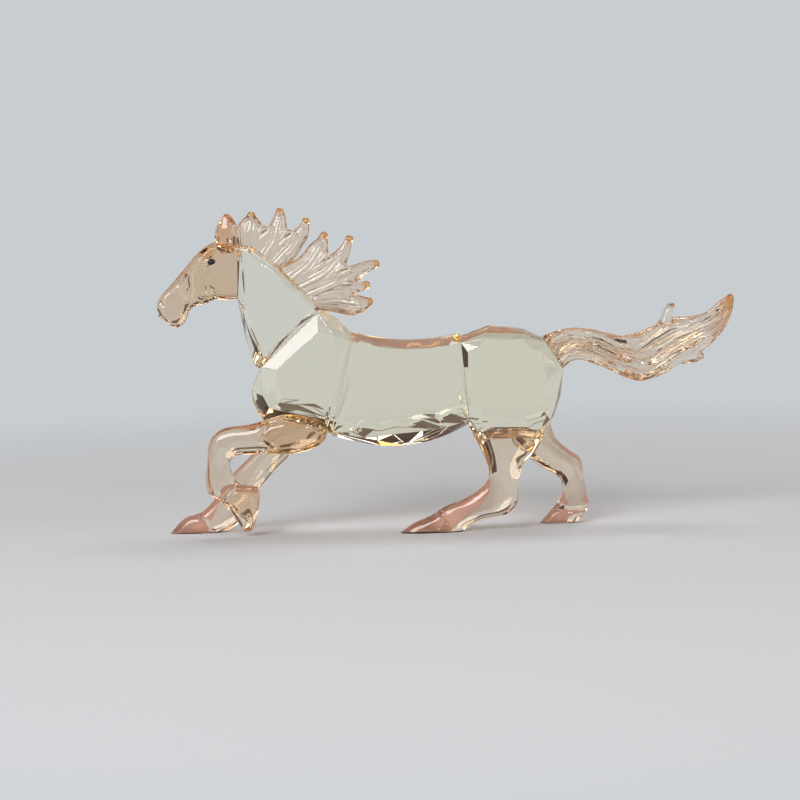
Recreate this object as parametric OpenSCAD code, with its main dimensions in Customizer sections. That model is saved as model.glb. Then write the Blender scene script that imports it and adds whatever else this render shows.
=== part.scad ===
// Cut-crystal horse figurine, about 165 mm from muzzle to tail tip.
// Four faceted crystal blocks (neck, shoulder, barrel, haunch) are glued in a row, and the moulded
// glass pieces (head, ears, mane, tail, legs) are glued onto them with thin films of clear adhesive.
// The horse faces -X, its left side is -Y, and its hooves stand on z = 0.
// Millimetres. Outlines are side views, so each of their points is [x, z].

/* [Crystal blocks] */
// Width of the neck block
neck_w = 14; // [12:0.5:16]
// Width of the shoulder block
shoulder_w = 21; // [19:0.5:23]
// Width of the barrel block
barrel_w = 22; // [20:0.5:24]
// Width of the haunch block
haunch_w = 23; // [21:0.5:25]
// Depth of the bevel that runs round each block's flat side
bevel = 1.2; // [0.8:0.1:1.8]
// Share of a block's width that its outermost edge band takes up
girdle_share = 0.36; // [0.3:0.02:0.44]
// Radius of the hollow ground across the back
saddle_r = 62; // [58:1:75]

/* [Moulded glass] */
// Width of the head across the cheeks
head_w = 12.8; // [11:0.2:14]
// Distance between the ears' middles
ear_spread = 8.2; // [7:0.2:8.4]
// Thickness of an ear at its base
ear_w = 3.6; // [3.4:0.2:4.4]
// Diameter of an eye bead
eye_d = 2; // [1.6:0.1:2.2]
// Thickness of the mane
mane_w = 4.8; // [4:0.2:5.6]
// Width of the tail at its root
tail_w = 10.5; // [9:0.5:12]
// Distance between the middles of the left and right legs
leg_spread = 12.6; // [12:0.2:13.2]
// Width of a leg at its root
leg_w = 9.2; // [8:0.2:10]

/* [Glue and smoothness] */
// Thickness of a film of adhesive
film = 0.1; // [0.08:0.02:0.2]
// Margin between a film's edge and the edge of the block that it holds
film_margin = 0.6; // [0.4:0.1:1]
// Share of a moulded piece's root width that its film of adhesive covers
root_share = 0.8; // [0.6:0.05:0.9]
// Sides of a moulded piece's rings
sides = 16; // [12:2:20]
// Rings from one station of a moulded piece to the next
steps = 3; // [2:1:3]

/* [Hidden] */

clear = "#cfccc0";
champagne = "#c9b79c";
adhesive = "#d8c98c";
navy = "#10121c";

left = -1;
right = 1;
big = 400;

// Glued joints between blocks, each from its top point to its bottom point
head_joint = [[-58.8, 82.8], [-59.2, 67.6]];
neck_joint = [[-35.8, 64.1], [-53.7, 47.9]];
shoulder_joint = [[-27.3, 57.5], [-33.6, 28.7]];
barrel_joint = [[3.6, 55.5], [5.6, 30.5]];
tail_joint = [[26.8, 54.6], [32.9, 44.9]];

// Directions in which the pieces press onto what they are glued to
onto_neck = [0.7, 0, 0.7];
onto_head = [0, 0, 1];
under_block = [0, 0, -1];

// A joint's point at share t from its top, and the joint moved d towards the tail
function at(line, t) = line[0] + t * (line[1] - line[0]);
function normal(line) = [line[0][1] - line[1][1], line[1][0] - line[0][0]] / norm(line[1] - line[0]);
function moved(line, d) = [line[0] + d * normal(line), line[1] + d * normal(line)];

// Outlines of the neck: flat side, bevel edge, outermost band
neck_start = moved(head_joint, film);
neck_table = [[-58, 81.6], [-55.8, 81.2], [-48, 74.8], [-37.1, 64.2], [-52.8, 50], [-54, 54], [-58, 66]];
neck_edge = [at(neck_start, 0.03), [-55.5, 82.1], [-47.2, 75.7], at(neck_joint, 0.01),
    at(neck_joint, 0.94), [-54.8, 53.6], at(neck_start, 0.97)];
neck_band = [neck_start[0], [-55.6, 82.7], [-47.2, 76.3], neck_joint[0], neck_joint[1], [-54.6, 48.1],
    [-55.8, 51], [-56.9, 54.5], [-58.4, 62], neck_start[1]];

// Outlines of the shoulder
shoulder_start = moved(neck_joint, film);
shoulder_table = [[-48.5, 47.8], [-41.5, 54], [-36.5, 58], [-32.3, 57.2], [-31.2, 51.6], [-32.8, 45],
    [-34, 35.5], [-47.6, 38.6], [-49, 42]];
shoulder_edge = [at(shoulder_start, 0.96), at(shoulder_start, 0.04), [-33.4, 61.3],
    at(shoulder_joint, 0.06), at(shoulder_joint, 0.86), [-51, 36.9], [-52.8, 40.5], [-52.6, 44]];
shoulder_band = [shoulder_start[1], shoulder_start[0], [-34.6, 63.5], [-30.7, 61], shoulder_joint[0],
    shoulder_joint[1], [-34.2, 29], [-53, 33.2], [-54.4, 35], [-55.8, 38.5], [-56.2, 41.4], [-55.6, 44]];

// Outlines of the barrel
barrel_start = moved(shoulder_joint, film);
barrel_table = [[-25.5, 60], [1, 60], [3, 46], [3.8, 35.5], [-4, 33], [-12, 32], [-20, 31.2], [-30, 31.4],
    [-29.5, 38]];
barrel_edge = [at(barrel_start, -0.15), at(barrel_joint, -0.2), at(barrel_joint, 0.94), [-0.5, 30.2],
    [-8, 29.8], [-16, 28.6], [-24.5, 27.8], at(barrel_start, 0.97)];
barrel_band = [at(barrel_start, -0.15), at(barrel_joint, -0.2), barrel_joint[1], [0.8, 28.1],
    [-5.5, 25.9], [-12.5, 24.9], [-19.4, 24.8], [-27, 26.4], at(barrel_start, 1.02)];

// Outlines of the haunch
haunch_start = moved(barrel_joint, film);
haunch_table = [[5.6, 51.5], [11, 55.2], [20.8, 54.8], [26, 51], [28, 43], [27.4, 33], [22, 31.4],
    [9, 31.8], [7.2, 40]];
haunch_edge = [at(haunch_start, 0.06), [10, 56.4], [21.6, 56], at(tail_joint, 0.12),
    at(tail_joint, 0.9), [30.6, 38], [28.4, 31.5], [25.6, 28.8], [8, 28.8], at(haunch_start, 0.92)];
haunch_band = [haunch_start[0], [9.1, 57.1], [12.3, 58.1], [16.6, 57.8], [22, 57], tail_joint[0],
    tail_joint[1], [32.6, 43.2], [32.1, 38.3], [30.2, 32.6], [26.7, 27.4], [26, 26.4], [7, 26.4],
    haunch_start[1]];

// The hollow across the back touches these: its lowest point, and how much deeper the flat sides go
saddle_low = [-9.5, 54.9];
saddle_flare = 2.3;

// Stations of the moulded pieces: [front x, front z, back x, back z, share of the full width]
head_stations = [[-58.8, 82.8, -59.2, 67.6, 1], [-62, 84, -62.2, 67.5, 1], [-65, 84.3, -65.5, 67.8, 1],
    [-68.2, 82.9, -68.8, 66.6, 0.95], [-71.2, 80.4, -71.2, 66.2, 0.86], [-74, 77.2, -72.6, 65.4, 0.76],
    [-76.6, 74.3, -73.6, 64.1, 0.68], [-79, 71.7, -74.4, 62.2, 0.63], [-81, 69.6, -75.4, 60.9, 0.61],
    [-82.3, 67.6, -77, 60.1, 0.57], [-82.5, 65.6, -78.8, 60.8, 0.48], [-82.1, 64, -80.4, 62.4, 0.26]];
ear_stations = [[-63.8, 81, -60.4, 81, 0.7], [-64.7, 82.4, -59.2, 82.3, 0.95],
    [-64.6, 83.8, -59.1, 83.7, 0.9], [-65.2, 85.8, -58.8, 85.8, 1], [-64.7, 88, -59, 88, 0.95],
    [-63.8, 89.6, -59.7, 89.7, 0.75],
    [-62.8, 91.2, -60.8, 91.3, 0.45], [-62.2, 92, -61.6, 92, 0.2]];
tail_stations = [[26.8, 54.6, 32.9, 44.9, 1], [31, 56, 35.5, 46.8, 0.94], [35.5, 57, 38.2, 47.3, 0.88],
    [41, 56.5, 41.6, 46.3, 0.86], [46.7, 55.2, 45.8, 44.6, 0.84], [51.3, 54.7, 50.5, 42.3, 0.84],
    [55.6, 55.4, 55.2, 41, 0.84], [59.6, 57.3, 60.2, 42, 0.84], [64.4, 59.2, 65, 44.3, 0.8],
    [70, 59.3, 70.1, 46.9, 0.72], [74.5, 60.5, 74.8, 50.2, 0.64], [77.5, 62.8, 79, 54.5, 0.55],
    [79.8, 64.5, 81.6, 59.5, 0.4], [81, 65.2, 82.4, 63.4, 0.2]];

// Thickness of the two loose curls of the tail, and their side-view stations
curl_w = 4.5;
curl_stations = [[60, 57, 65, 57.5], [61.6, 59.8, 64.6, 59.8], [62.6, 62, 65.2, 61.4],
    [63.8, 63.1, 65.4, 62.4]];
lower_lock_stations = [[58, 50, 58, 42.6], [66, 51, 65.5, 45.2], [71, 50.6, 71, 45.7], [73, 48.8, 73, 46.8]];

// Locks of the mane: side-view stations of each, from the crest to the tip
mane_front_locks = [
    [[-59.2, 82.2, -52, 79], [-59.6, 86, -50.9, 85.2], [-58.2, 89.6, -51.8, 88.8],
        [-56.2, 91.4, -53.6, 91.3]],
    [[-56, 82, -48, 76.5], [-51.6, 85, -45, 82.6], [-50.1, 88, -44.7, 87],
        [-48.4, 91, -45, 90.4], [-47.3, 92.2, -46, 92.2]],
    [[-52, 79, -46.8, 75.6], [-47, 83.4, -42.4, 79.4], [-44.2, 85.5, -40.4, 82.4],
        [-42.2, 87.5, -38.8, 84.8], [-40.6, 89, -38.4, 87.6], [-39.8, 89.5, -38.9, 89]]];
mane_rear_locks = [
    [[-47.6, 76.3, -42, 70], [-41.6, 79.3, -36, 74.4], [-38.7, 82.5, -33.3, 79],
        [-36.3, 84.4, -33.2, 82], [-35, 85.5, -33.6, 84.7]],
    [[-45, 74, -39.5, 68], [-37, 77, -32, 71], [-32.7, 79.6, -28.7, 75.6],
        [-29.8, 82, -27.2, 79.4], [-27.8, 84.4, -26.4, 83.4]],
    [[-42.5, 71.5, -38, 66], [-34, 74, -30, 69], [-28.6, 75.8, -26.4, 71],
        [-25.7, 76.8, -23.8, 72.8], [-22.2, 77.8, -21.2, 74.8], [-20, 77.4, -19.6, 76]],
    [[-38, 70, -35.5, 66], [-31, 72, -29, 68.5], [-26, 71.4, -25, 68.8],
        [-22.8, 71.3, -22.6, 70.2]],
    [[-40.5, 69, -36, 64], [-33, 70, -31, 62.9], [-28.5, 69.4, -26.8, 62.1],
        [-24.8, 68, -23.4, 63.2], [-22.2, 66.9, -21.8, 65]]];

// Stations of the legs, with the share of a leg's root width
foreleg_left_stations = [[-34.6, 30.6, -35.4, 27.4, 0.4], [-36, 32.9, -37.6, 25.4, 0.8],
    [-40.2, 34.8, -41.6, 24, 0.96], [-45.8, 35.2, -46.5, 23.5, 1], [-51.8, 33.6, -52.2, 23.6, 0.94],
    [-57.3, 32.2, -57, 23.7, 0.86], [-63, 31.6, -60.4, 23.5, 0.8], [-66.6, 30, -62.3, 22.4, 0.8],
    [-68.5, 27, -62.8, 20.6, 0.76], [-69.3, 21.5, -62.2, 18.4, 0.72], [-69.8, 16.6, -61.2, 16.2, 0.7],
    [-69.3, 13.2, -60.2, 15.2, 0.7], [-67, 11.2, -58.5, 14.9, 0.7], [-64.6, 9.4, -54.8, 13.8, 0.7],
    [-62.4, 6.2, -54.8, 9.5, 0.66], [-60.3, 3.2, -56, 4.2, 0.54], [-59.5, 2.3, -57, 2.3, 0.34]];
foreleg_right_stations = [[-51, 35, -36, 33.6, 0.92], [-53.5, 28, -40.5, 27, 0.94],
    [-57, 22.8, -46.5, 21.4, 0.86], [-62, 18, -52, 16.2, 0.78], [-66, 13, -57, 10.2, 0.72],
    [-69.5, 8.6, -60, 4.2, 0.7], [-73, 5.7, -63.5, 1.4, 0.68], [-77.5, 4.2, -67.5, -0.3, 0.68],
    [-82.1, -0.4, -69.2, -0.8, 0.66]];
hindleg_left_stations = [[5.5, 30, 27.5, 29.6, 1], [7.2, 26.5, 26.3, 26, 1], [8.6, 23.5, 24, 22, 0.94],
    [10.1, 20, 21, 19.2, 0.86], [10.8, 16.3, 19.4, 15, 0.78], [9.8, 13.6, 19, 11, 0.72],
    [7.6, 11.6, 18.7, 7.6, 0.68], [3.5, 9.2, 15.8, 4.6, 0.65], [-1.8, 7.2, 10, 3.4, 0.64],
    [-6, 4.7, 5, 1.6, 0.66], [-11, 2.6, 2.6, -0.4, 0.7], [-15.2, -0.3, 1.5, -0.8, 0.7]];
hindleg_right_stations = [[28.6, 33, 16, 29, 0.98], [30.6, 25.4, 20.4, 21.6, 0.95],
    [34.5, 21.3, 26.5, 16.6, 0.86], [37.5, 19.2, 30.3, 14.4, 0.78],
    [38.8, 16, 32.2, 12.2, 0.72], [39.1, 12, 32.7, 9.7, 0.68],
    [39.6, 8, 31.6, 6.6, 0.66], [40, 4.4, 29.6, 4.2, 0.66], [36, -0.8, 25.4, -0.4, 0.62]];

// Middle of an eye bead: side-view place and how far out from the middle plane
eye_at = [-66.5, 78.6];
eye_out = 5.5;

// Catmull-Rom value between b and c, at share t of the way
function curve(a, b, c, d, t) =
    0.5 * (2 * b + t * (c - a) + t * t * (2 * a - 5 * b + 4 * c - d) + t * t * t * (3 * b - a - 3 * c + d));

// Stations with extra ones added between them, so that they follow a smooth curve
function smooth(list) = let (last = len(list) - 1) [
    for (i = [0 : last - 1], j = [0 : steps - 1])
        curve(list[max(i - 1, 0)], list[i], list[i + 1], list[min(i + 2, last)], j / steps),
    list[last]];

// Elliptical ring of a station, turned the way that the path goes, and its middle
function turn(path) = let (d = middle(path[1]) - middle(path[0]), s = path[0])
    sign((s[0] - s[2]) * d[2] - (s[1] - s[3]) * d[0]);
function ring(s, w, turn) = [for (i = [0 : sides - 1]) let (a = 360 * turn * i / sides) [
    (s[0] + s[2] + (s[0] - s[2]) * cos(a)) / 2,
    s[4] * w / 2 * sin(a),
    (s[1] + s[3] + (s[1] - s[3]) * cos(a)) / 2]];
function middle(s) = [(s[0] + s[2]) / 2, 0, (s[1] + s[3]) / 2];

// Smooth closed solid through the stations, with flat ends
module loft(stations, w) {
    path = smooth(stations);
    last = len(path) - 1;
    first_middle = (last + 1) * sides;
    points = concat([for (s = path) each ring(s, w, turn(path))], [middle(path[0]), middle(path[last])]);
    walls = [for (k = [0 : last - 1], i = [0 : sides - 1])
        let (a = k * sides + i, b = k * sides + (i + 1) % sides)
        each [[a, a + sides, b + sides], [a, b + sides, b]]];
    ends = [for (i = [0 : sides - 1]) let (j = (i + 1) % sides)
        each [[j, first_middle, i], [last * sides + i, first_middle + 1, last * sides + j]]];
    polyhedron(points, concat(walls, ends), convexity = 8);
}

// Side-view outline made w thick, centred on the middle plane
module slab(outline, w) {
    rotate([90, 0, 0])
        linear_extrude(w, center = true)
            polygon(outline);
}

// Cut block: its flat sides, bevel edge and outermost band, joined by plane facets
module cut_block(table, edge, band, w) {
    hull() {
        slab(table, w);
        slab(edge, w - 2 * bevel);
        slab(band, w * girdle_share);
    }
}

// Film of adhesive along a joint between two blocks, as wide as the narrower one lets it be
module joint_film(line, w) {
    far = moved(line, film);
    margin = film_margin / norm(line[1] - line[0]);
    slab([at(line, margin), at(line, 1 - margin), at(far, 1 - margin), at(far, margin)],
        w - 2 * film_margin);
}

// First child trimmed to sit one film away from the second child, which it is pressed onto
module seated(direction) {
    difference() {
        children(0);
        translate(film * direction)
            children(1);
    }
}

// Film of adhesive that fills the space between the two
module seat_film(direction) {
    difference() {
        intersection() {
            children(0);
            translate(film * direction)
                children(1);
        }
        children(1);
    }
}

// Keeps what is above the ground
module above_ground() {
    intersection() {
        children();
        translate([-big / 2, -big / 2, 0])
            cube(big);
    }
}

module neck_solid() {
    cut_block(neck_table, neck_edge, neck_band, neck_w);
}

module shoulder_solid() {
    cut_block(shoulder_table, shoulder_edge, shoulder_band, shoulder_w);
}

module haunch_solid() {
    cut_block(haunch_table, haunch_edge, haunch_band, haunch_w);
}

// Grinding wheel that leaves the hollow across the back, wider towards the flat sides
module saddle_wheel() {
    band = barrel_w * girdle_share / 2;
    rim = saddle_r + saddle_flare;
    translate([saddle_low[0], 0, saddle_low[1] + saddle_r])
        rotate([90, 0, 0])
            rotate_extrude($fn = 180)
                polygon([[0, -barrel_w], [rim, -barrel_w], [rim, -barrel_w / 2], [saddle_r, -band],
                    [saddle_r, band], [rim, barrel_w / 2], [rim, barrel_w], [0, barrel_w]]);
}

module head_solid() {
    loft(head_stations, head_w);
}

module eye_bead(side) {
    translate([eye_at[0], side * eye_out, eye_at[1]])
        sphere(d = eye_d, $fn = 12);
}

module ear_solid(side) {
    translate([0, side * ear_spread / 2, 0])
        loft(ear_stations, ear_w);
}

// Side-view outline of a lock of hair: up its front edge and back down its rear edge
function lock_outline(stations) = let (path = smooth(stations)) concat(
    [for (s = path) [s[0], s[1]]],
    [for (i = [len(path) - 1 : -1 : 0]) [path[i][2], path[i][3]]]);

// Locks of the mane, joined side by side
module mane_solid(locks) {
    rotate([90, 0, 0])
        linear_extrude(mane_w, center = true)
            union() {
                for (lock = locks)
                    polygon(lock_outline(lock));
            }
}

module leg_solid(stations, side) {
    above_ground()
        translate([0, side * leg_spread / 2, 0])
            loft(stations, leg_w);
}

module head() {
    color(champagne)
        difference() {
            head_solid();
            for (side = [left, right])
                eye_bead(side);
        }
}

module ear(side) {
    color(champagne)
        seated(onto_head) {
            ear_solid(side);
            head_solid();
        }
}

module eye(side) {
    color(navy)
        eye_bead(side);
}

module neck() {
    color(clear)
        neck_solid();
}

module mane(locks) {
    color(champagne)
        seated(onto_neck) {
            mane_solid(locks);
            neck_solid();
        }
}

module shoulder() {
    color(clear)
        shoulder_solid();
}

module barrel() {
    color(clear)
        difference() {
            cut_block(barrel_table, barrel_edge, barrel_band, barrel_w);
            saddle_wheel();
        }
}

module haunch() {
    color(clear)
        haunch_solid();
}

module tail() {
    color(champagne)
        translate(film * [normal(tail_joint)[0], 0, normal(tail_joint)[1]])
            union() {
                loft(tail_stations, tail_w);
                slab(lock_outline(curl_stations), curl_w);
                slab(lock_outline(lower_lock_stations), curl_w);
            }
}

module foreleg(stations, side) {
    color(champagne)
        seated(under_block) {
            leg_solid(stations, side);
            shoulder_solid();
        }
}

module hindleg(stations, side) {
    color(champagne)
        seated(under_block) {
            leg_solid(stations, side);
            haunch_solid();
        }
}

module bond_line(line, w) {
    color(adhesive)
        joint_film(line, w);
}

module bond_ear(side) {
    color(adhesive)
        seat_film(onto_head) {
            ear_solid(side);
            head_solid();
        }
}

module bond_mane(locks) {
    color(adhesive)
        seat_film(onto_neck) {
            mane_solid(locks);
            neck_solid();
        }
}

module bond_foreleg(stations, side) {
    color(adhesive)
        seat_film(under_block) {
            leg_solid(stations, side);
            shoulder_solid();
        }
}

module bond_hindleg(stations, side) {
    color(adhesive)
        seat_film(under_block) {
            leg_solid(stations, side);
            haunch_solid();
        }
}

head();
ear(left);  // ear_left
ear(right);  // ear_right
eye(left);  // eye_left
eye(right);  // eye_right
neck();
mane(mane_front_locks);  // mane_front
mane(mane_rear_locks);  // mane_rear
shoulder();
barrel();
haunch();
tail();
foreleg(foreleg_left_stations, left);  // foreleg_left
foreleg(foreleg_right_stations, right);  // foreleg_right
hindleg(hindleg_left_stations, left);  // hindleg_left
hindleg(hindleg_right_stations, right);  // hindleg_right
bond_line(head_joint, head_w * root_share);  // bond_head
bond_ear(left);  // bond_ear_left
bond_ear(right);  // bond_ear_right
bond_mane(mane_front_locks);  // bond_mane_front
bond_mane(mane_rear_locks);  // bond_mane_rear
bond_line(neck_joint, neck_w - 2 * bevel);  // bond_neck
bond_line(shoulder_joint, shoulder_w - 2 * bevel);  // bond_shoulder
bond_line(barrel_joint, barrel_w - 2 * bevel);  // bond_barrel
bond_line(tail_joint, tail_w * root_share);  // bond_tail
bond_foreleg(foreleg_left_stations, left);  // bond_foreleg_left
bond_foreleg(foreleg_right_stations, right);  // bond_foreleg_right
bond_hindleg(hindleg_left_stations, left);  // bond_hindleg_left
bond_hindleg(hindleg_right_stations, right);  // bond_hindleg_right
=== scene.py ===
"""Looks of a cut-crystal horse figurine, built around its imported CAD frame.

The cut blocks are the CAD solids with ground edges. The moulded pieces are fine lofts through the same
stations as the CAD's, with relief added, and they replace the plain CAD solids.
Stations and side-view places are in millimetres, x then z, in the drawing of the whole horse; place()
turns them into metres in the CAD frame.
"""

import math
import random
from contextlib import contextmanager

import bmesh
import bpy
import numpy as np
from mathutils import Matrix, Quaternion, Vector
from mathutils.kdtree import KDTree


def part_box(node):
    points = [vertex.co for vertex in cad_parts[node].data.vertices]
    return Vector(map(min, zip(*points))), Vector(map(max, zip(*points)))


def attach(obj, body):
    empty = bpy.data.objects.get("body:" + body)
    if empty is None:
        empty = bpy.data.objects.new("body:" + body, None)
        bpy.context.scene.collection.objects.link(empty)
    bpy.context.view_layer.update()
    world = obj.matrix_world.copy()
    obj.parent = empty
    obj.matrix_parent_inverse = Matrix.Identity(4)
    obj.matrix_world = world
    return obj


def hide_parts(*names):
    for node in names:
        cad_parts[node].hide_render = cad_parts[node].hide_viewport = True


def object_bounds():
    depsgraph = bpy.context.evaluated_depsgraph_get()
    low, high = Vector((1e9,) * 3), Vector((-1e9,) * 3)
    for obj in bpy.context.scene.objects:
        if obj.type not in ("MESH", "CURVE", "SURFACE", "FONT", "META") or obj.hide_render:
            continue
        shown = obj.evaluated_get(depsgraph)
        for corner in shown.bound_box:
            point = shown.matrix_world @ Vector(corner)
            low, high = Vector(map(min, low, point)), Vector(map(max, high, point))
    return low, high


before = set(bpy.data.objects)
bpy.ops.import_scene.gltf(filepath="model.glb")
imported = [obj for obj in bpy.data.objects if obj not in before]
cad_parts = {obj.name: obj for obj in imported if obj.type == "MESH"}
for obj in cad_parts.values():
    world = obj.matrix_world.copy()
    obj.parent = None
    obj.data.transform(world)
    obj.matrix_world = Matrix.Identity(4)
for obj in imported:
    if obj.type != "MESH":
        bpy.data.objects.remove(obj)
cad_low, cad_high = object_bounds()

# ---------------------------------------------------------------- the drawing and the CAD frame

DRAWN_LENGTH = 165.0
UNIT = (cad_high.x - cad_low.x) / DRAWN_LENGTH
CENTRE_X = (cad_low.x + cad_high.x) / 2
LEFT, RIGHT = -1, 1


def place(points):
    """Drawing millimetres to metres in the CAD frame."""
    return np.asarray(points, float) * UNIT + np.array([CENTRE_X, 0.0, cad_low.z])


# ---------------------------------------------------------------- meshes

AMBER = "amber"       # vertex attribute: how much of the amber skin a place has
WELD = 2e-6           # metres within which two corners of a CAD mesh are one
FLAT_DEGREES = 0.4    # faces of a CAD mesh that meet at less than this are one
ON_PLANE = 1e-7       # metres within which a corner counts as lying on a cutting plane


def make_object(name, mesh):
    piece = bpy.data.objects.new(name, mesh)
    bpy.context.scene.collection.objects.link(piece)
    return piece


@contextmanager
def editing(mesh):
    """The mesh opened for bmesh operations, which are written back to it afterwards."""
    edit = bmesh.new()
    edit.from_mesh(mesh)
    yield edit
    edit.to_mesh(mesh)
    edit.free()


def mesh_from(name, points, faces):
    mesh = bpy.data.meshes.new(name)
    mesh.from_pydata([tuple(p) for p in points], [], faces)
    mesh.validate()
    return mesh


def apply_modifiers(piece):
    graph = bpy.context.evaluated_depsgraph_get()
    made = bpy.data.meshes.new_from_object(piece.evaluated_get(graph))
    piece.modifiers.clear()
    old = piece.data
    piece.data = made
    bpy.data.meshes.remove(old)


def set_amber(mesh, values):
    mesh.attributes.new(AMBER, "FLOAT", "POINT").data.foreach_set("value", values)


def fuse(name, pieces, voxel):
    """One closed skin round several overlapping pieces, with their amber values carried over."""
    mesh = bpy.data.meshes.new(name)
    with editing(mesh) as joined:
        for piece in pieces:
            joined.from_mesh(piece.data)
    fused = make_object(name, mesh)
    spots = [v.co.copy() for v in mesh.vertices]
    amber = [a.value for a in mesh.attributes[AMBER].data]
    skin = fused.modifiers.new("skin", "REMESH")
    skin.mode = "VOXEL"
    skin.voxel_size = voxel
    skin.use_smooth_shade = True
    soften = fused.modifiers.new("soften", "SMOOTH")
    soften.factor = 0.5
    soften.iterations = 1
    apply_modifiers(fused)
    tree = KDTree(len(spots))
    for i, spot in enumerate(spots):
        tree.insert(spot, i)
    tree.balance()
    values = [amber[tree.find(v.co)[1]] for v in fused.data.vertices]
    if AMBER in fused.data.attributes:
        fused.data.attributes.remove(fused.data.attributes[AMBER])
    set_amber(fused.data, values)
    for piece in pieces:
        remove(piece)
    return fused


def remove(piece):
    mesh = piece.data
    bpy.data.objects.remove(piece)
    bpy.data.meshes.remove(mesh)


def copy_of(node, name, offset=(0, 0, 0)):
    """Copy of a CAD node's mesh with its flat faces whole again, moved by an offset in metres."""
    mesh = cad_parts[node].data.copy()
    mesh.materials.clear()
    with editing(mesh) as edit:
        bmesh.ops.remove_doubles(edit, verts=edit.verts, dist=WELD)
        bmesh.ops.dissolve_limit(edit, angle_limit=math.radians(FLAT_DEGREES), verts=edit.verts,
                                 edges=edit.edges)
        bmesh.ops.translate(edit, verts=edit.verts, vec=Vector(offset))
    mesh.name = name
    return make_object(name, mesh)


def cut_flat(piece, point, out):
    """Cuts off what lies behind a plane and closes the flat face; out points to the side that stays."""
    with editing(piece.data) as edit:
        bmesh.ops.bisect_plane(edit, geom=[*edit.verts, *edit.edges, *edit.faces], dist=ON_PLANE,
                               plane_co=point, plane_no=out, clear_inner=True)
        bmesh.ops.holes_fill(edit, edges=[e for e in edit.edges if e.is_boundary], sides=0)
        bmesh.ops.recalc_face_normals(edit, faces=edit.faces)


def ball(name, centre, radius, segments, rings, flatness=1.0):
    """Bead round a place, with its width across the horse as a share of its height."""
    mesh = bpy.data.meshes.new(name)
    with editing(mesh) as edit:
        bmesh.ops.create_uvsphere(edit, u_segments=segments, v_segments=rings, radius=radius)
        bmesh.ops.scale(edit, verts=edit.verts, vec=(1, flatness, 1))
        bmesh.ops.translate(edit, verts=edit.verts, vec=centre)
    return make_object(name, mesh)


def disc(name, radius, height, segments, depth=1.0):
    """Flat disc on the ground, with its size along y as a share of its size along x."""
    mesh = bpy.data.meshes.new(name)
    with editing(mesh) as edit:
        bmesh.ops.create_circle(edit, cap_ends=True, segments=segments, radius=radius)
        bmesh.ops.scale(edit, verts=edit.verts, vec=(1, depth, 1))
        bmesh.ops.translate(edit, verts=edit.verts, vec=(0, 0, height))
    return make_object(name, mesh)


def smooth_shade(piece, sharp_degrees):
    mesh = piece.data
    mesh.polygons.foreach_set("use_smooth", [True] * len(mesh.polygons))
    mesh.set_sharp_from_angle(angle=math.radians(sharp_degrees))


# ---------------------------------------------------------------- lofts

DOME_RINGS = 5  # rings that round a tube's end


def spline(rows, steps):
    """Catmull-Rom curve through rows of numbers, with this many steps between two rows."""
    rows = np.array(rows, float)
    padded = np.vstack([rows[0], rows, rows[-1]])
    out = []
    for i in range(len(rows) - 1):
        a, b, c, d = padded[i:i + 4]
        for t in np.arange(steps) / steps:
            out.append(0.5 * (2 * b + t * (c - a) + t * t * (2 * a - 5 * b + 4 * c - d)
                              + t ** 3 * (3 * b - a - 3 * c + d)))
    out.append(rows[-1])
    return np.array(out)


def loft(name, stations, width, side=0.0, sides=64, steps=10, square=2.0, relief=None, sink=None, tip=0.5,
         amber=(0, 1, 2)):
    """Closed tube through stations [front x, front z, back x, back z, share of the width].

    square is the superellipse power of the rings, relief(share, angle) scales a ring's points,
    sink(points) reshapes points before they go to their side, tip is the roundness of the end, and
    amber is the amount of amber skin at the root, and the shares of the length from which it grows and
    at which it is full.
    """
    path = spline(stations, steps)
    share = np.linspace(0, 1, len(path))
    angle = np.linspace(0, 2 * math.pi, sides, endpoint=False)
    cos, sin = np.cos(angle), np.sin(angle)
    across = np.sign(cos) * np.abs(cos) ** (2 / square)
    out = np.sign(sin) * np.abs(sin) ** (2 / square)
    front, back = path[:, 0:2], path[:, 2:4]
    middle, half = (front + back) / 2, (front - back) / 2
    swell = np.ones((len(path), sides)) if relief is None else relief(share[:, None], angle[None, :])
    points = np.empty((len(path), sides, 3))
    points[:, :, 0] = middle[:, 0:1] + half[:, 0:1] * across * swell
    points[:, :, 2] = middle[:, 1:2] + half[:, 1:2] * across * swell
    points[:, :, 1] = path[:, 4:5] * width / 2 * out * swell
    if sink is not None:
        points = sink(points)
    points[:, :, 1] += side
    rings = [*points, *rounded_end(points[-2], points[-1], tip)]
    share = np.append(share, np.ones(len(rings) - len(share)))
    base, start, full = amber
    grown = np.clip((share - start) / (full - start), 0, 1) ** 2
    return tube(name, rings, base + (1 - base) * grown)


def rounded_end(before, last, depth):
    """Rings that close a tube's end as a dome, as deep as the share of its own half width."""
    centre = last.mean(axis=0)
    ahead = centre - before.mean(axis=0)
    ahead /= np.linalg.norm(ahead)
    reach = np.linalg.norm(last - centre, axis=1).mean() * depth
    turns = np.linspace(0, math.pi / 2, DOME_RINGS + 2)[1:-1]
    return [centre + (last - centre) * math.cos(a) + ahead * reach * math.sin(a) for a in turns]


def tube(name, rings, amber):
    """Closed mesh over rings of points, with one amber value to a ring."""
    count = len(rings[0])
    points = np.vstack([*rings, rings[0].mean(axis=0), rings[-1].mean(axis=0)])
    faces = []
    for k in range(len(rings) - 1):
        for i in range(count):
            j = (i + 1) % count
            faces.append((k * count + i, k * count + j, (k + 1) * count + j, (k + 1) * count + i))
    top = (len(rings) - 1) * count
    faces += [(len(points) - 2, (i + 1) % count, i) for i in range(count)]
    faces += [(len(points) - 1, top + i, top + (i + 1) % count) for i in range(count)]
    piece = make_object(name, mesh_from(name, place(points), faces))
    values = np.append(np.repeat(amber, count), [amber[0], amber[-1]])
    set_amber(piece.data, values)
    with editing(piece.data) as edit:
        bmesh.ops.recalc_face_normals(edit, faces=edit.faces)
    return piece


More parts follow.
